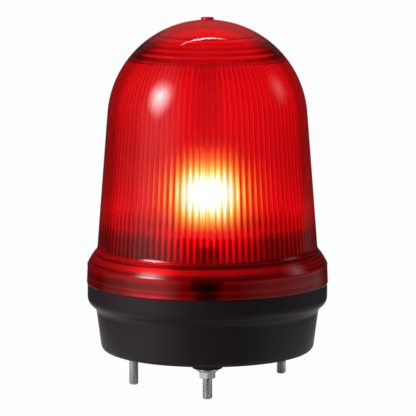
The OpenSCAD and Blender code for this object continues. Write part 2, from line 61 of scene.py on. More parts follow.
DRAFT = math.tan(math.radians(4.6))
BAND_Z = RING_Z + RING_H
BAND_R = RING_R - RING_H * math.tan(math.radians(2.6))
WALL_R = BAND_R - SHOULDER_IN
SHOULDER_X = BAND_R - SHOULDER_R * math.cos(math.radians(SHOULDER_EDGE))
SHOULDER_Z = BAND_Z - SHOULDER_R * math.sin(math.radians(SHOULDER_EDGE))
WALL_Z = SHOULDER_Z + math.sqrt(SHOULDER_R ** 2 - (WALL_R - SHOULDER_X) ** 2)
DOME_R = (WALL_R - (LENS_TOP - WALL_Z) * DRAFT) / (math.sqrt(1 + DRAFT ** 2) - DRAFT)
DOME_Z = LENS_TOP - DOME_R
CREST_R = DOME_R - LENS_WALL - RIB_DEPTH
VALLEY_R = DOME_R - LENS_WALL
CAP_Z = DOME_Z + math.sqrt(CREST_R ** 2 - CAP_R ** 2)
RIB_FOOT_Z = WALL_Z - LENS_WALL / 5
MOUTH_R = WALL_R - LENS_WALL + 0.4
RING_IN = RING_R - RING_WALL
THROAT_Z = BAND_Z + RING_H / 6
LUG_Z = THROAT_Z - 2 * LOCK_GAP - BAR_T - LUG_T

# Roundings and fine forms that only these meshes have. Those of the shoulder are in degrees along its curve.
NUB_EDGE, NUB_FLARE_SHARE = 0.25, 0.45
WALL_HOLD, WALL_FILLET = 1.9, 1.3
SHOULDER_FILLET, SHOULDER_HOLD, SHOULDER_END = 2.4, 0.8, 0.2
BAND_EDGE, BAND_HOLD, RING_EDGE = 0.12, 0.4, 0.45
MOUTH_EDGE, CAP_STEP, CAP_RING_FOOT = 0.2, 0.4, 0.2
# One turn of the thread: radius against the stud's, and height.
THREAD = ((-0.45, 0.0), (-0.45, 0.1), (0.0, 0.37), (0.0, 0.5), (-0.45, PITCH))
STUD_TIP_SHARE, STUD_END, STUD_END_SHARE = 0.8, 0.3, 0.87
NUT_BORE_R, NUT_CHAMFER, NUT_FOOT, NUT_EDGE = GRIP_R + 0.05, 0.6, 0.08, 0.12
ON_WALL, ON_DOME, ON_CAP = 1, 2, 3
SECTORS, COLUMNS_PER_RIB, THREAD_STEPS = 8, 6, 24


# Meshes

def piece(bm, name, body, finish, replaced):
    """Turns a mesh drawn in millimetres into a piece of the beacon that rides on a body."""
    bmesh.ops.scale(bm, vec=(MM, MM, MM), verts=bm.verts[:])
    for face in bm.faces:
        face.smooth = True
    mesh = bpy.data.meshes.new(name)
    bm.to_mesh(mesh)
    bm.free()
    made = bpy.data.objects.new(name, mesh)
    bpy.context.scene.collection.objects.link(made)
    mesh.materials.append(finish)
    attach(made, body)
    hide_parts(replaced)
    return made


def arc(x, z, r, start, end, steps):
    """Points of an arc about (x, z), angles in degrees above the horizon."""
    turn = [math.radians(start + (end - start) * i / steps) for i in range(steps + 1)]
    return [(x + r * math.cos(a), z + r * math.sin(a)) for a in turn]


def eased(a, b, c, steps=4):
    """Points of a small curve from a to c that rounds off the corner b."""
    turn = [i / steps for i in range(steps + 1)]
    return [tuple((1 - t) ** 2 * p + 2 * t * (1 - t) * q + t * t * r for p, q, r in zip(a, b, c)) for t in turn]


def straight(a, b, steps):
    """Points evenly between a and b, without the two themselves."""
    return [(a[0] + (b[0] - a[0]) * k / steps, a[1] + (b[1] - a[1]) * k / steps) for k in range(1, steps)]


def turned(bm, points, columns, corners, marks):
    """Spins a half section about the axis. Corners are points whose ring stays a sharp edge."""
    corner = bm.verts.layers.int.new("corner")
    rib = bm.verts.layers.int.new("rib")
    verts = []
    for i, (r, z) in enumerate(points):
        v = bm.verts.new((r, 0, z))
        v[corner] = 1 if i in corners else 0
        v[rib] = marks.get(i, 0)
        verts.append(v)
    edges = [bm.edges.new(pair) for pair in zip(verts, verts[1:])]
    bmesh.ops.spin(bm, geom=verts + edges, cent=(0, 0, 0), axis=(0, 0, 1), dvec=(0, 0, 0),
                   angle=2 * math.pi / SECTORS, steps=columns // SECTORS, use_merge=False, use_duplicate=False)
    sector = bm.verts[:] + bm.edges[:] + bm.faces[:]
    for k in range(1, SECTORS):
        copy = bmesh.ops.duplicate(bm, geom=sector)["geom"]
        bmesh.ops.rotate(bm, cent=(0, 0, 0), matrix=Matrix.Rotation(2 * math.pi * k / SECTORS, 3, "Z"),
                         verts=[g for g in copy if isinstance(g, bmesh.types.BMVert)])
    bmesh.ops.remove_doubles(bm, verts=bm.verts[:], dist=1e-4)
    return corner, rib


def lens_section():
    """Half section of the lens from the nub over the outside, round the foot and up the inside to the axis.
    Gives the points, the sharp ones and the marked ones (on the wall, on the dome, on the cap)."""
    points, corners, marks = [], set(), {}

    def go(new, sharp=False, mark=0):
        for p in new:
            if sharp:
                corners.add(len(points))
            if mark:
                marks[len(points)] = mark
            points.append(p)

    # Outside: nub, dome, wall, shoulder and ring
    nub_top = LENS_TOP + NUB_H
    top_angle = math.degrees(math.acos((NUB_R + NUB_FLARE * NUB_FLARE_SHARE) / DOME_R))
    draft_angle = math.degrees(math.atan(DRAFT))
    go([(0, nub_top), (NUB_R - NUB_EDGE, nub_top), (NUB_R, nub_top - NUB_EDGE), (NUB_R, LENS_TOP + NUB_H / 3)])
    go(arc(0, DOME_Z, DOME_R, top_angle, draft_angle, 24))
    go(straight(points[-1], (WALL_R, WALL_Z), 5))
    go([(WALL_R - WALL_HOLD * DRAFT, WALL_Z + WALL_HOLD)])
    shoulder_top = math.degrees(math.asin((WALL_Z - SHOULDER_Z) / SHOULDER_R)) - SHOULDER_FILLET
    shoulder = arc(SHOULDER_X, SHOULDER_Z, SHOULDER_R, shoulder_top, SHOULDER_EDGE + SHOULDER_END, 8)
    hold = SHOULDER_EDGE + SHOULDER_HOLD
    shoulder.insert(-1, arc(SHOULDER_X, SHOULDER_Z, SHOULDER_R, hold, SHOULDER_EDGE, 1)[0])
    go(eased((WALL_R - WALL_FILLET * DRAFT, WALL_Z + WALL_FILLET), (WALL_R, WALL_Z), shoulder[0]))
    go(shoulder[1:-1])
    lean = (RING_R - BAND_R) / RING_H
    go(eased(shoulder[-1], (BAND_R, BAND_Z), (BAND_R + BAND_EDGE * lean, BAND_Z - BAND_EDGE)))
    go([(BAND_R + d * lean, BAND_Z - d) for d in (BAND_HOLD, RING_H / 2, RING_H - 2 * RING_EDGE)])
    go(eased((RING_R - RING_EDGE * lean, RING_Z + RING_EDGE), (RING_R, RING_Z), (RING_R - RING_EDGE, RING_Z), 3))

    # Inside: ring with the band that the lugs come from, mouth, ribbed wall and dome
    go([(RING_IN, RING_Z)], sharp=True)
    go([(RING_IN, LUG_Z), (RING_IN, LUG_Z + LUG_T), (RING_IN, THROAT_Z), (MOUTH_R, RIB_FOOT_Z - MOUTH_EDGE)])
    go([(MOUTH_R, RIB_FOOT_Z)], sharp=True)
    low = (WALL_R - LENS_WALL + (WALL_Z - RIB_FOOT_Z) * (WALL_R - DOME_R) / (DOME_Z - WALL_Z), RIB_FOOT_Z)
    go([low], sharp=True, mark=ON_WALL)
    go(straight(low, (VALLEY_R, DOME_Z), 6), mark=ON_WALL)
    ribs_end = math.degrees(math.asin((CAP_Z - DOME_Z) / VALLEY_R))
    dome = arc(0, DOME_Z, VALLEY_R, 0, ribs_end, 12)
    go(dome[:-1], mark=ON_DOME)
    go(dome[-1:], sharp=True, mark=ON_DOME)

    # Cap: a step, rings round it and a smooth middle
    go([(math.sqrt(VALLEY_R ** 2 - (CAP_Z - DOME_Z) ** 2) + CAP_STEP, CAP_Z)], sharp=True)
    edge = math.asin(CAP_R / CREST_R)
    step = (edge - math.asin(CAP_FLAT_R / CREST_R)) / (2 * CAP_RINGS - 1)
    for i in range(2, 4 * CAP_RINGS - 1):
        r = CREST_R + CAP_RING_FOOT + CAP_RING_DEPTH * (0.5 - 0.5 * math.cos(math.pi * i / 2))
        a = edge - i * step / 2
        go([(r * math.sin(a), DOME_Z + r * math.cos(a))], mark=ON_CAP)
    corners.add(len(points) - 1)
    last = math.degrees(math.asin((points[-1][1] - DOME_Z) / CREST_R))
    middle = arc(0, DOME_Z, CREST_R, last, 90, 10)
    go(middle[:1], sharp=True)
    go(middle[1:-1], mark=ON_CAP)
    go([(0, DOME_Z + CREST_R)])
    return points, corners, marks


def draw_ribs(bm, corner, rib, columns):
    """Draws the inner wall and dome in to ribs, and levels their ends under the cap."""
    groups = {}
    for v in bm.verts:
        if v[rib] in (ON_WALL, ON_DOME):
            turn = math.atan2(v.co.y, v.co.x) / (2 * math.pi) * columns
            groups.setdefault((v[rib], round(turn) % COLUMNS_PER_RIB), []).append(v)
    for (where, step), verts in groups.items():
        depth = RIB_DEPTH * (0.5 - 0.5 * math.cos(2 * math.pi * step / COLUMNS_PER_RIB))
        k = 1 - depth / VALLEY_R
        if where == ON_WALL:
            bmesh.ops.scale(bm, vec=(k, k, 1), verts=verts)
        else:
            bmesh.ops.scale(bm, vec=(k, k, k), verts=verts, space=Matrix.Translation((0, 0, -DOME_Z)))
    for v in bm.verts:
        if v[rib] == ON_DOME and v[corner] and v.co.z > CAP_Z - 2 * RIB_DEPTH:
            v.co.z = CAP_Z


def draw_lugs(bm):
    """Draws the three lock lugs out of the inside of the ring. Gives the vertices of their ends."""
    lug_faces = []
    for face in bm.faces:
        c = face.calc_center_median()
        if abs(math.hypot(c.x, c.y) - RING_IN) < 0.05 and LUG_Z < c.z < LUG_Z + LUG_T:
            a = math.degrees(math.atan2(c.y, c.x))
            if any(abs((a - d + 180) % 360 - 180) < LUG_HALF for d in LOCK_DIRS):
                lug_faces.append(face)
    grown = bmesh.ops.extrude_face_region(bm, geom=lug_faces)
    bmesh.ops.delete(bm, geom=lug_faces, context="FACES_ONLY")
    ends = [g for g in grown["geom"] if isinstance(g, bmesh.types.BMVert)]
    k = (RING_IN - LUG_REACH) / RING_IN
    bmesh.ops.scale(bm, vec=(k, k, 1), verts=ends)
    return ends


def lens_piece(clear, frosted):
    """The ribbed dome, one turned shell. The inside of its ring and the nub on top are frosted."""
    bm = bmesh.new()
    columns = RIBS * COLUMNS_PER_RIB
    points, corners, marks = lens_section()
    corner, rib = turned(bm, points, columns, corners, marks)
    draw_ribs(bm, corner, rib, columns)
    lug_ends = draw_lugs(bm)
    bmesh.ops.recalc_face_normals(bm, faces=bm.faces[:])
    for edge in bm.edges:
        if all(v[corner] for v in edge.verts):
            edge.smooth = False
    for v in lug_ends:
        for edge in v.link_edges:
            if edge.calc_face_angle(0) > 1:
                edge.smooth = False
    for face in bm.faces:
        c = face.calc_center_median()
        in_ring = RING_IN - LUG_REACH - 0.1 < math.hypot(c.x, c.y) < RING_IN + 0.05
        in_ring = in_ring and RING_Z + 0.1 < c.z < RIB_FOOT_Z - 0.1
        face.material_index = 1 if in_ring or c.z > LENS_TOP + 0.1 else 0
    made = piece(bm, "lens_dome", "lens", clear, "lens")
    made.data.materials.append(frosted)


def drawn_out(bm, rim):
    """Extrudes an open rim. Gives the vertices and the edges of the new one."""
    grown = bmesh.ops.extrude_edge_only(bm, edges=rim)["geom"]
    ring = [g for g in grown if isinstance(g, bmesh.types.BMVert)]
    return ring, [g for g in grown if isinstance(g, bmesh.types.BMEdge) and all(v in ring for v in g.verts)]


def grow(bm, rim, r, z):
    """Draws the next ring out of an open rim, round and level at height z."""
    ring, rim = drawn_out(bm, rim)
    for v in ring:
        v.co = Vector((v.co.x, v.co.y, 0)).normalized() * r + Vector((0, 0, z))
    return rim


def stand(bm, one, way, z=0.0):
    """Puts a finished stud or nut in its place on the stud circle and adds it to the others."""
    bmesh.ops.recalc_face_normals(one, faces=one.faces[:])
    a = math.radians(way)
    bmesh.ops.translate(one, vec=(STUD_POS * math.cos(a), STUD_POS * math.sin(a), z), verts=one.verts[:])
    held = bpy.data.meshes.new("held")
    one.to_mesh(held)
    one.free()
    bm.from_mesh(held)
    bpy.data.meshes.remove(held)


def sharpen(bm, angle):
    """Makes every edge sharp that turns by more than this angle, in radians."""
    for edge in bm.edges:
        edge.smooth = edge.calc_face_angle(0) < angle


def stud_piece(finish):
    """Three studs: a thread drawn as one screw surface below the nut, a plain core above it."""
    bm = bmesh.new()
    for below, way in zip(STUD_BELOW, LOCK_DIRS):
        one = bmesh.new()
        turns = int((below + NUT_Z) / PITCH) + 3
        start, foot = -below - 1.5 * PITCH, -below + STUD_TIP
        verts = [one.verts.new((STUD_R + r, 0, start + z)) for r, z in THREAD]
        edges = [one.edges.new(pair) for pair in zip(verts, verts[1:])]
        bmesh.ops.spin(one, geom=verts + edges, cent=(0, 0, 0), axis=(0, 0, 1),
                       dvec=(0, 0, PITCH / THREAD_STEPS), angle=2 * math.pi * turns, steps=THREAD_STEPS * turns,
                       use_merge=False, use_duplicate=False)
        bmesh.ops.remove_doubles(one, verts=one.verts[:], dist=1e-3)
        for height, outward in ((foot, -1), (NUT_Z, 1)):
            bmesh.ops.bisect_plane(one, geom=one.verts[:] + one.edges[:] + one.faces[:], dist=1e-5,
                                   plane_co=(0, 0, height), plane_no=(0, 0, outward), clear_outer=True)
        point = ((STUD_TIP_SHARE, -STUD_TIP),)
        core = ((GRIP_R / STUD_R, 0), (1, STUD_TOP - NUT_Z - STUD_END), (STUD_END_SHARE, STUD_END))
        for height, steps in ((foot, point), (NUT_Z, core)):
            rim = [e for e in one.edges if e.is_boundary and all(abs(v.co.z - height) < 1e-3 for v in e.verts)]
            for k, rise in steps:
                ring, rim = drawn_out(one, rim)
                bmesh.ops.scale(one, vec=(k, k, 1), verts=ring)
                bmesh.ops.translate(one, vec=(0, 0, rise), verts=ring)
            bmesh.ops.edgeloop_fill(one, edges=rim)
        stand(bm, one, way)
    sharpen(bm, 0.6)
    piece(bm, "threaded_studs", "base", finish, "mounting_studs")


def nut_piece(finish):
    """Three flange nuts: a hexagon with a chamfered foot on a domed flange, open for the stud."""
    flat_r, flange_z = NUT_AF / 2, NUT_H - NUT_FLANGE_T
    flange = ((NUT_FLANGE_R - 0.35, flange_z - 0.1), (NUT_FLANGE_R - 0.08, flange_z + 0.1),
              (NUT_FLANGE_R, flange_z + 0.35), (NUT_FLANGE_R, NUT_H - NUT_EDGE),
              (NUT_FLANGE_R - NUT_EDGE, NUT_H), (NUT_BORE_R, NUT_H), (NUT_BORE_R, 0.25))
    bm = bmesh.new()
    for way in LOCK_DIRS:
        one = bmesh.new()
        bmesh.ops.create_circle(one, cap_ends=False, radius=NUT_BORE_R, segments=48)
        rim = one.edges[:]
        for r in (GRIP_R + 0.4, flat_r - 0.05):
            rim = grow(one, rim, r, 0.0)
        ring, rim = drawn_out(one, rim)
        for v in ring:
            a = (math.degrees(math.atan2(v.co.y, v.co.x)) - 30 + 360) % 60 - 30
            r = flat_r / math.cos(math.radians(a))
            foot = Vector((0, 0, NUT_FOOT + NUT_CHAMFER * (r - flat_r)))
            v.co = Vector((v.co.x, v.co.y, 0)).normalized() * r + foot
        ring, rim = drawn_out(one, rim)
        for v in ring:
            v.co.z = flange_z - NUT_FLANGE_T
        for r, z in flange:
            rim = grow(one, rim, r, z)
        bmesh.ops.bridge_loops(one, edges=[e for e in one.edges if e.is_boundary])
        bmesh.ops.remove_doubles(one, verts=one.verts[:], dist=1e-4)
        stand(bm, one, way, NUT_Z)
    sharpen(bm, 0.5)
    piece(bm, "flange_nuts", "base", finish, "stud_flange_nuts")


# Finishes

class Wire:
    """A socket in a set of nodes. Arithmetic on it adds Math nodes."""

    def __init__(self, tree, socket=None):
        self.tree = tree
        self.socket = socket

    def node(self, kind, settings=None, sockets=None, out=0):
        """Adds any node: its settings first, then the values or links of its sockets."""
        made = self.tree.nodes.new("ShaderNode" + kind)
        for key, value in (settings or {}).items():
            setattr(made, key, value)
        for key, value in (sockets or {}).items():
            found = self.pick(made.inputs, key)
            if isinstance(value, Wire):
                self.tree.links.new(value.socket, found)
            else:
                found.default_value = value
        return Wire(self.tree, self.pick(made.outputs, out) if made.outputs else None)

    @staticmethod
    def pick(sockets, key):
        """A socket by its number, its identifier or its name."""
        if isinstance(key, int):
            return sockets[key]
        return next(s for s in sockets if s.identifier == key or (s.name == key and s.enabled))

    def math(self, operation, *values):
        return self.node("Math", {"operation": operation}, dict(enumerate(values)))

    def __add__(self, other):
        return self.math("ADD", self, other)

    __radd__ = __add__

    def __sub__(self, other):
        return self.math("SUBTRACT", self, other)

    def __rsub__(self, other):
        return self.math("SUBTRACT", other, self)

    def __mul__(self, other):
        return self.math("MULTIPLY", self, other)

    __rmul__ = __mul__

    def __truediv__(self, other):
        return self.math("DIVIDE", self, other)

    def __rtruediv__(self, other):
        return self.math("DIVIDE", other, self)


WHITE = (1.0, 1.0, 1.0, 1.0)
# The red of the light painted on the lens ribs and inside the lens ring.
GLOW_RED = (0.9, 0.006, 0.02)
LIT_POINT = (0, 0, 0.11)


def start_nodes(owner):
    """An empty set of nodes in a material, world or lamp."""
    owner.use_nodes = True
    owner.node_tree.nodes.clear()
    return Wire(owner.node_tree)


def start_finish(name):
    """A new material and the piece's own coordinates in metres."""
    made = bpy.data.materials.new(name)
    return made, start_nodes(made).node("TexCoord", out="Object")


def close_finish(place, sockets):
    place.node("OutputMaterial", {}, {"Surface": place.node("BsdfPrincipled", {}, sockets)})


def noise(place, size, detail=2.0, rough=0.5, stretch=None):
    """Noise with features of about this size in millimetres, 0 to 1."""
    if stretch:
        place = place.node("Mapping", {}, {"Vector": place, "Scale": stretch})
    return place.node("TexNoise", {}, {"Vector": place, "Scale": 1 / (size * MM), "Detail": detail,
                                       "Roughness": rough}, "Fac")


def between(factor, low, high):
    """A colour between two, by a factor of 0 to 1."""
    low, high = (c if isinstance(c, Wire) else (*c, 1.0) for c in (low, high))
    return factor.node("Mix", {"data_type": "RGBA"}, {"Factor_Float": factor, "A_Color": low, "B_Color": high},
                       "Result_Color")


def scaled(colour, factor):
    """A colour times a value."""
    return factor.node("VectorMath", {"operation": "SCALE"}, {0: colour, "Scale": factor}, 0)


def bumped(height, depth, strength):
    """A normal from a height of 0 to 1, depth in millimetres."""
    return height.node("Bump", {}, {"Height": height, "Distance": depth * MM, "Strength": strength}, "Normal")


def limited(wire, low, high):
    """Spreads low..high to 0..1 and holds it there."""
    return wire.node("MapRange", {}, {"Value": wire, "From Min": low, "From Max": high}, "Result")


def part(vector, axis):
    """One coordinate of a vector."""
    return vector.node("SeparateXYZ", {}, {"Vector": vector}, axis)


def level(place):
    """The height above the base face in millimetres."""
    return part(place, "Z") / MM


def reach(place):
    """The distance from the beacon's axis in millimetres."""
    flat = place.node("VectorMath", {"operation": "MULTIPLY"}, {0: place, 1: (1, 1, 0)}, 0)
    return flat.node("VectorMath", {"operation": "LENGTH"}, {0: flat}, "Value") / MM


def around(place):
    """The turn about the beacon's axis, in radians from the front."""
    across = part(place, "X")
    return across.math("ARCTAN2", across, part(place, "Y") * -1)


def cosine(turn):
    return turn.math("COSINE", turn)


def bell(off, falling=0.0):
    """1 where off is 0, fading to both sides, and further by a value that is 0 or less."""
    power = off * off * -1 + falling
    return power.math("EXPONENT", power)


def lens_light(place, ribs, cap):
    """Painted light on the ribs, standing in for the light they take up from the LEDs: red all over, thin lines
    before the dark collar, a bright window in the cap, and a white patch with amber edges at the front. Painted
    shade dims it behind the lugs, along the collar's rims, in a strip at the front middle and in notches near the
    top."""
    led_z, patch_half, halo_half = 86.2, 10.4, 24.0
    collar_rims, rim_half = (62.2, 64.7), 0.6
    height, turn = level(place), around(place)
    front, lock = cosine(turn), cosine(turn * len(LOCK_DIRS))
    crest = 0.5 + 0.5 * cosine(turn * RIBS)
    thin = crest * crest * crest

    # Painted shade: a dark patch behind each lug, low on the wall.
    painted_lug_shade = limited(lock, 0.90, 0.99) * limited(height, 61.0, 59.0)
    # Painted light: thin lit lines along the rib crests in front of the dark collar.
    lines = limited(height, 70.0, 66.5) * (0.35 + 0.65 * limited(height, 53.5, 68.0)) * (0.33 + 1.8 * thin)
    lines = lines * (0.08 + limited(lock, -0.2, 1.0)) * (1 - 0.75 * painted_lug_shade)

    # Painted light: the red glow over the ribs, with a halo at the LEDs' height at the front.
    halo = bell((height - led_z) / halo_half, (front - 1) * 8)
    painted_glow = 0.17 + 0.12 * limited(height, 86.0, 70.0) + 0.13 * limited(height, 105.0, 140.0) + 0.34 * halo
    painted_glow = painted_glow * (0.36 + 1.26 * crest) * (1 - cap)
    # Painted shade: dark dotted lines where the collar's two rims lie behind the wall.
    painted_rim_shade = bell((height - collar_rims[0]) / rim_half) + bell((height - collar_rims[1]) / rim_half)
    painted_rim_shade = painted_rim_shade * (1 - thin) * limited(front, 0.95, 0.85)
    painted_glow = painted_glow * (0.25 + 0.75 * limited(height, 60.5, 67.5)) * (1 - 0.85 * painted_rim_shade)
    # Painted shade: a dark strip at the front middle and dark notches between the crests near the top.
    middle = limited(front, 0.985, 0.998) * limited(height, 108.0, 122.0)
    painted_notch_shade = (0.4 + 0.6 * limited(front, 0.86, 0.97)) * limited(height, 139.0, 149.0) * (1 - thin)
    painted_glow = painted_glow * (1 - painted_notch_shade) * (1 - 0.7 * middle)

    # Painted light: a bright window in the middle of the cap.
    painted_cap_window = cap * (0.05 + 0.38 * limited(reach(place), 29.0, 24.0))
    red = scaled(GLOW_RED, ribs * (lines + painted_glow + painted_cap_window))

    # Painted light: a white patch with amber edges on the front ribs, at the LEDs' height.
    hot = bell((height - led_z) / patch_half, (front - 1) * 26)
    side = limited(front, 0.978, 0.945)
    patch = hot * (1.05 + side * (2.7 * thin - 1.05)) * ribs * limited(height, 66.8, 68.8)
    warm = scaled(between(hot * hot, (0.2, 9.0, 0.0), (3.0, 11.0, 12.0)), patch)
    return red.node("VectorMath", {"operation": "ADD"}, {0: red, 1: warm}, 0)


def lens_plastic():
    """Clear red plastic, deeper red the thicker it is, and darkened by painted shade where it is seen edge on.
    The ribs inside are a little matt and hazy, and carry painted light that stands in for the LEDs' glow."""
    made, place = start_finish("red_lens_plastic")
    mark = place.node("Attribute", {"attribute_name": "rib"}, out="Fac")
    ribs, cap = limited(mark, 0.0, ON_WALL), limited(mark, ON_DOME, ON_CAP)
    height = level(place)
    flow = noise(place, 26, 3.0, 0.5, (1, 1, 0.35))
    dust = limited(noise(place, 0.9, 4.0, 0.7), 0.62, 0.8)
    # Painted shade: the base colour turns dark red where the surface is seen edge on.
    facing = place.node("LayerWeight", {}, {"Blend": 0.5}, "Facing")
    rim = limited(facing, 0.50, 0.60) * (1 - ribs) * limited(height, 54.0, 57.0) * limited(height, 168.0, 157.0)
    colour = between(limited(flow, 0.3, 0.7), (0.975, 0.29, 0.43), (0.99, 0.33, 0.47))
    shoulder = limited(height, 51.0, 47.5) * limited(height, 44.0, 45.0)
    rough = 0.02 + 0.02 * flow + 0.06 * dust + 0.28 * ribs - 0.2 * cap + 0.10 * shoulder
    # The Emission Color carries the painted light of lens_light.
    clear = place.node("BsdfPrincipled", {}, {
        "Base Color": between(rim, colour, (0.36, 0.05, 0.08)), "Roughness": rough, "Transmission Weight": 1.0,
        "IOR": 1.5, "Emission Color": lens_light(place, ribs, cap), "Emission Strength": 1.0,
        "Normal": bumped(noise(place, 7, 2.0, 0.4), 0.05, 0.5)})
    veil = place.node("BsdfTranslucent", {}, {"Color": (0.9, 0.008, 0.03, 1.0)})
    both = place.node("MixShader", {}, {0: 0.004 + ribs * (0.02 + 0.02 * flow), 1: clear, 2: veil})
    deep = place.node("VolumeAbsorption", {}, {"Color": (0.95, 0.0, 0.0, 1.0), "Density": 300.0}, "Volume")
    place.node("OutputMaterial", {}, {"Surface": both, "Volume": deep})
    return made


def frosted_plastic():
    """The matt inside of the lens ring, where the same red plastic shows its own colour in long lines. It carries
    painted light, a red glow along the lines that is brighter higher up and above the lugs, and a painted dark
    patch behind the lugs."""
    made, place = start_finish("red_lens_frosted")
    height, lock = level(place), cosine(around(place) * len(LOCK_DIRS))
    lines = noise(place, 6, 3.0, 0.5, (0.05, 0.05, 5))
    cloud = noise(place, 18, 3.0, 0.5)
    # Painted shade: a dark patch behind each lug, in colour and glow.
    painted_lug_shade = limited(lock, 0.90, 0.995) * limited(height, 45.8, 42.5)
    calm = limited(height, 46.5, 43.5)
    streaks = limited(lines, 0.38, 0.62) * (0.85 - 0.5 * calm) + 0.15 * cloud + 0.22 * calm
    streaks = streaks * (1 - painted_lug_shade * 0.95)
    # Painted light: the red glow along the lines grows brighter higher up and above the lugs.
    high = limited(height, 44.0, 50.0) * (0.12 + 0.88 * limited(lock, -0.7, 0.7))
    close_finish(place, {"Base Color": between(streaks, (0.14, 0.003, 0.005), (0.95, 0.06, 0.08)),
                         "Metallic": 0.65 + 0.2 * cloud, "Roughness": 0.28 + 0.2 * lines,
                         "Emission Color": scaled(GLOW_RED, (0.13 + 0.33 * high) * streaks),
                         "Emission Strength": 1.0, "Normal": bumped(lines, 0.25, 0.6)})
    return made


def cup_plastic():
    """Satin charcoal moulding with a fine grain and a few pale specks."""
    made, place = start_finish("charcoal_cup_plastic")
    grain = noise(place, 0.35, 3.0, 0.6)
    cloud = noise(place, 30, 3.0, 0.55)
    specks = limited(noise(place, 1.3, 5.0, 0.75), 0.66, 0.76)
    shade = limited(cloud, 0.25, 0.75) * 0.7 + 0.3 * grain
    colour = between(shade, (0.012, 0.0070, 0.0100), (0.019, 0.0112, 0.0158))
    close_finish(place, {"Base Color": between(specks * 0.06, colour, (0.11, 0.11, 0.12)),
                         "Roughness": 0.40 + 0.12 * grain + 0.06 * cloud, "Specular IOR Level": 0.40,
                         "Specular Tint": (0.94, 0.91, 1.0, 1.0), "Normal": bumped(grain, 0.03, 0.35)})
    return made


def dark_plastic(name, low, high, rough):
    """A plain dark moulding with a fine grain."""
    made, place = start_finish(name)
    grain = noise(place, 0.25, 2.0, 0.6)
    cloud = noise(place, 14, 3.0, 0.5)
    close_finish(place, {"Base Color": between(limited(cloud, 0.3, 0.7), low, high),
                         "Roughness": rough + 0.12 * grain + 0.06 * cloud, "Normal": bumped(grain, 0.02, 0.3)})
    return made


def rubber(name):
    """Black rubber with a faint bloom and fine pits."""
    made, place = start_finish(name)
    bloom = limited(noise(place, 5, 4.0, 0.65), 0.35, 0.75)
    pits = noise(place, 0.4, 3.0, 0.6)
    close_finish(place, {"Base Color": between(bloom, (0.012, 0.012, 0.012), (0.026, 0.026, 0.027)),
                         "Roughness": 0.66 + 0.2 * pits, "Specular IOR Level": 0.3,
                         "Normal": bumped(pits, 0.05, 0.4)})
    return made


def plated_metal(name, low, high, rough):
    """Plated or drawn metal with a fine lay, cloudy patches and a few dull stains."""
    made, place = start_finish(name)
    lay = noise(place, 1.2, 4.0, 0.7, (1, 1, 6))
    bloom = noise(place, 3.5, 4.0, 0.6)
    stain = limited(noise(place, 1.6, 5.0, 0.75), 0.58, 0.8)
    close_finish(place, {"Base Color": between(limited(bloom, 0.25, 0.75) - 0.2 * stain, low, high),
                         "Metallic": 1.0 - 0.12 * stain, "Roughness": rough + 0.14 * lay + 0.12 * stain,
                         "Normal": bumped(lay, 0.008, 0.3)})
    return made


def board_lacquer(name, low, high, metal):
    """Solder lacquer over a net of tracks with bare pads."""
    made, place = start_finish(name)
    cells = place.node("TexVoronoi", {"feature": "DISTANCE_TO_EDGE"}, {"Vector": place, "Scale": 340.0}, "Distance")
    spots = place.node("TexVoronoi", {}, {"Vector": place, "Scale": 420.0}, "Distance")
    tracks = limited(cells, 0.10, 0.16)
    pads = 1 - limited(spots, 0.20, 0.26)
    grain = noise(place, 0.3, 2.0)
    lacquer = between(tracks * 0.8 + 0.2 * grain, low, high)
    close_finish(place, {"Base Color": between(pads * 0.5, lacquer, metal), "Roughness": 0.32 + 0.1 * grain,
                         "Metallic": pads * 0.4, "Normal": bumped(tracks, 0.04, 0.5)})
    return made


def moulded(name, low, high, rough):
    """A moulded or drawn plastic in one colour with slight flow marks and grain."""
    made, place = start_finish(name)
    flow = noise(place, 9, 3.0, 0.5)
    grain = noise(place, 0.3, 3.0, 0.6)
    close_finish(place, {"Base Color": between(limited(flow, 0.3, 0.7) * 0.75 + 0.25 * grain, low, high),
                         "Roughness": rough + 0.12 * grain, "Normal": bumped(grain, 0.015, 0.35)})
    return made


def can_sleeve():
    """Shrink sleeve of the filter capacitors: dark, with a pale strip towards the axis and a bare top."""
    strip_x, can_top = -16.0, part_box("filter_capacitors")[1].z / MM
    made, place = start_finish("capacitor_sleeve")
    top = limited(level(place), can_top - 0.3, can_top - 0.1)
    strip = limited(part(place, "X") / MM, strip_x - 0.2, strip_x + 0.2)
    grain = noise(place, 0.4, 3.0)
    sleeve = between(strip, (0.015, 0.022, 0.07), (0.35, 0.36, 0.38))
    close_finish(place, {"Base Color": between(top, sleeve, (0.6, 0.6, 0.61)), "Metallic": top,
                         "Roughness": 0.3 + 0.15 * grain})
    return made


def wound_wire():
    """Enamelled winding of the choke."""
    made, place = start_finish("choke_winding")
    turns = place.node("TexWave", {"bands_direction": "Z"}, {"Vector": place, "Scale": 500.0, "Distortion": 0.6},
                       "Fac")
    tarnish = noise(place, 2.0, 3.0)
    shade = turns * 0.6 + 0.4 * tarnish
    close_finish(place, {"Base Color": between(shade, (0.16, 0.05, 0.015), (0.55, 0.24, 0.09)),
                         "Metallic": 0.75 * turns, "Roughness": 0.28 + 0.2 * tarnish,
                         "Normal": bumped(turns, 0.1, 0.8)})
    return made


def led_glow(name, strength):
    """Lit LEDs: warm white, a little uneven over the phosphor."""
    made, place = start_finish(name)
    phosphor = noise(place, 0.9, 3.0, 0.6)
    colour = between(limited(phosphor, 0.3, 0.7), (1.0, 0.80, 0.42), (1.0, 0.86, 0.52))
    close_finish(place, {"Base Color": between(phosphor, (0.75, 0.62, 0.2), (0.85, 0.75, 0.35)), "Roughness": 0.4,
                         "Emission Color": colour, "Emission Strength": strength})
    return made


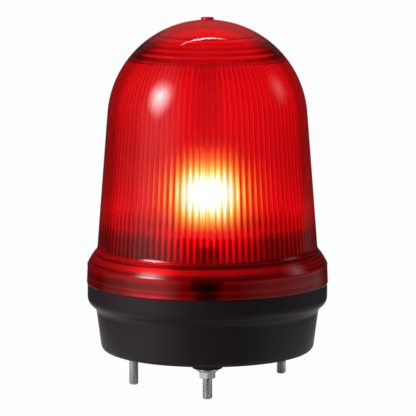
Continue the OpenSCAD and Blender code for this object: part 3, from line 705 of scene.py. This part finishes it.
def sleeve_glow(strength):
    """The lit frosted sleeve: brightest at the front, fading towards its foot, its round top and its back."""
    lit_z, lit_half = 81.5, 10.0
    made, place = start_finish("frosted_sleeve_glow")
    height = level(place)
    fade = bell((height - lit_z) / lit_half, (cosine(around(place)) - 1) * 12) * limited(height, 67.3, 68.5)
    frost = noise(place, 0.5, 3.0, 0.6)
    warm = between(limited(fade, 0.05, 1.0) * (0.9 + 0.1 * frost), (1.0, 0.50, 0.02), (0.60, 0.9, 1.0))
    close_finish(place, {"Base Color": between(frost, (0.70, 0.66, 0.58), (0.82, 0.78, 0.70)),
                         "Roughness": 0.55 + 0.2 * frost, "Emission Color": scaled(warm, fade),
                         "Emission Strength": strength})
    return made


def dress(finish, *names):
    """Gives CAD nodes their finish through their material slots."""
    for name in names:
        for slot in nodes[name].material_slots:
            slot.material = finish


zinc = plated_metal("zinc_plated_steel", (0.66, 0.66, 0.67), (0.84, 0.84, 0.85), 0.18)
nickel = plated_metal("nickel_screws", (0.45, 0.44, 0.43), (0.68, 0.67, 0.65), 0.26)
green_lacquer = board_lacquer("green_board_lacquer", (0.01, 0.07, 0.025), (0.02, 0.12, 0.045), (0.7, 0.6, 0.3))
white_lacquer = board_lacquer("white_board_lacquer", (0.70, 0.70, 0.67), (0.80, 0.80, 0.77), (0.75, 0.68, 0.45))

lens_piece(lens_plastic(), frosted_plastic())
stud_piece(zinc)
nut_piece(zinc)

dress(cup_plastic(), "base_cup")
dress(dark_plastic("black_collar_plastic", (0.010, 0.010, 0.011), (0.018, 0.018, 0.019), 0.34), "lens_collar")
dress(rubber("black_rubber"), "lens_gasket", "stud_seals", "cable_grommet")
dress(nickel, "collar_screws", "stud_washers", "stud_inner_nuts", "board_screws", "terminal_screws",
      "plate_screws", "post_screws", "top_screws")
dress(green_lacquer, "driver_board")
dress(white_lacquer, "side_boards", "top_board")
dress(can_sleeve(), "filter_capacitors")
dress(wound_wire(), "choke_coil")
dress(dark_plastic("chip_epoxy", (0.012, 0.012, 0.012), (0.024, 0.024, 0.024), 0.42), "driver_chips")
dress(moulded("green_terminal_plastic", (0.02, 0.16, 0.05), (0.03, 0.22, 0.08), 0.38), "terminal_block")
dress(moulded("cream_nylon", (0.70, 0.66, 0.54), (0.80, 0.77, 0.66), 0.42), "loom_socket")
dress(moulded("red_loom_sleeve", (0.42, 0.02, 0.02), (0.55, 0.04, 0.03), 0.4), "led_loom")
dress(dark_plastic("black_plate_plastic", (0.006, 0.006, 0.006), (0.012, 0.012, 0.012), 0.80), "led_plate")
dress(sleeve_glow(60.0), "light_sleeve")
dress(plated_metal("post_aluminium", (0.62, 0.63, 0.64), (0.78, 0.79, 0.80), 0.30), "led_post")
dress(led_glow("led_glow", 12.0), "side_leds", "top_leds")


# Studio

def ray(wire, kind):
    """1 for this kind of ray, otherwise 0."""
    return wire.node("LightPath", out="Is " + kind + " Ray")


def paper_floor(scene):
    """A pale strip of floor that narrows towards the camera. It looks white. In gloss its white fades near the
    beacon's axis, a painted shadow, so the matt floor shows its lit shade and the beacon's real shadow there."""
    bm = bmesh.new()
    bmesh.ops.create_grid(bm, x_segments=2, y_segments=2, size=6.0)
    bmesh.ops.scale(bm, vec=(0.114, 0.52, 1), verts=bm.verts[:])
    bmesh.ops.scale(bm, vec=(0.16, 1, 1), verts=[v for v in bm.verts if v.co.y < -1])
    bmesh.ops.scale(bm, vec=(0.585, 1, 1), verts=[v for v in bm.verts if abs(v.co.y) < 1])
    bmesh.ops.translate(bm, vec=(0, 3.05, FLOOR_Z * MM), verts=bm.verts[:])
    mesh = bpy.data.meshes.new("studio_floor")
    bm.to_mesh(mesh)
    bm.free()
    floor = bpy.data.objects.new("studio_floor", mesh)
    scene.collection.objects.link(floor)
    paper, place = start_finish("white_paper")
    # Painted shadow: in gloss the floor's white fades near the beacon's axis, leaving the lit matt floor with its
    # real shadow.
    shadow_gone = limited(reach(place), 55.0, 130.0)
    seen = ray(place, "Camera") + ray(place, "Transmission") + ray(place, "Glossy") * shadow_gone
    matt = place.node("BsdfDiffuse", {}, {"Color": (0.9, 0.9, 0.9, 1)})
    lit = place.node("Emission", {}, {"Color": WHITE, "Strength": 1.0})
    both = place.node("MixShader", {}, {0: seen * 0.985, 1: matt, 2: lit})
    place.node("OutputMaterial", {}, {"Surface": both})
    mesh.materials.append(paper)


def white_room(scene):
    """The room around: white to the camera, dim as light, and with soft bright walls to look at in gloss and
    through the lens."""
    room = bpy.data.worlds.new("white_room")
    scene.world = room
    wire = start_nodes(room)
    way = wire.node("TexCoord", out="Generated")
    across, depth, rise = part(way, "X"), part(way, "Y"), part(way, "Z")
    shine = ray(wire, "Glossy")
    through = ray(wire, "Transmission") * (1 - shine)
    low = limited(rise, 0.02, -0.15)
    left_wall = limited(across, -0.40, -0.72) * limited(depth, 0.5, 0.1)
    left_wall = left_wall * (0.12 + 0.28 * low + 0.6 * limited(depth, 0.0, -0.3))
    right_wall = limited(across, 0.45, 0.8) * limited(rise, -0.05, -0.10) * limited(depth, 0.9, 0.6)
    back_wall = limited(depth, 0.965, 0.998)
    upper = limited(rise, 0.2, 0.5) * limited(depth, 0.3, 0.6)
    upper = upper * limited(across.math("ABSOLUTE", across), 0.5, 0.3)
    below = limited(rise, -0.16, -0.24)
    front_and_back = limited(depth.math("ABSOLUTE", depth), 0.25, 0.70)
    in_gloss = back_wall * 0.30 + left_wall * 0.66 + upper * 0.14 + right_wall * 0.24 + below * 0.09 - 0.20
    in_lens = front_and_back * 0.86 - 0.08
    strength = 0.22 + ray(wire, "Camera") * 0.78 + through * in_lens + shine * in_gloss
    back = wire.node("Background", {}, {"Color": WHITE, "Strength": strength})
    wire.node("OutputWorld", {}, {"Surface": back})


def panel(scene, name, way, distance, size, power, falloff, roof=1.0):
    """A soft light panel that faces the beacon, brightest in its middle. Its upper part may be shaded from the
    height roof on."""
    lamp = bpy.data.lights.new(name, "AREA")
    lamp.shape = "ELLIPSE"
    lamp.size, lamp.size_y = size
    lamp.energy = power
    wire = start_nodes(lamp)
    where = wire.node("NewGeometry", out="Parametric")
    off = where.node("VectorMath", {"operation": "DISTANCE"}, {0: where, 1: (0.5, 0.5, 0.0)}, "Value")
    fade = off.math("POWER", limited(off, 0.5, 0.0), falloff)
    if roof < 1:
        fade = fade * limited(part(where, "Y"), 0.85, roof)
    glow = fade.node("Emission", {}, {"Color": WHITE, "Strength": fade})
    wire.node("OutputLight", {}, {"Surface": glow})
    made = bpy.data.objects.new(name, lamp)
    way = Vector(way).normalized()
    made.location = Vector(LIT_POINT) + way * distance
    made.rotation_euler = way.to_track_quat("Z", "Y").to_euler()
    made.visible_camera = False
    scene.collection.objects.link(made)


def viewpoint(scene):
    """The camera, fitted to the beacon's outline in the photograph: focal length in pixels, place and tilt."""
    focal_px, image_px, sensor = 2284.1, 416, 36.0
    lens = bpy.data.cameras.new("viewpoint")
    lens.sensor_width = sensor
    lens.lens = focal_px / image_px * sensor
    made = bpy.data.objects.new("viewpoint", lens)
    made.location = (0.0003, -1.1647, 0.22125)
    made.rotation_euler = (math.radians(90 - 7.254), 0, 0)
    scene.collection.objects.link(made)
    scene.camera = made


studio = bpy.context.scene
studio.view_settings.view_transform = "Standard"
paper_floor(studio)
white_room(studio)
panel(studio, "left_panel", (-0.775, -0.44, 0.453), 1.9, (1.2, 1.7), 118.0, 1.6, 0.5)
panel(studio, "right_panel", (0.903, 0.169, 0.394), 1.9, (1.2, 1.2), 5.5, 2.2)
panel(studio, "top_panel", (-0.06, 0.33, 0.94), 1.6, (1.0, 0.09), 5.0, 1.0)
viewpoint(studio)
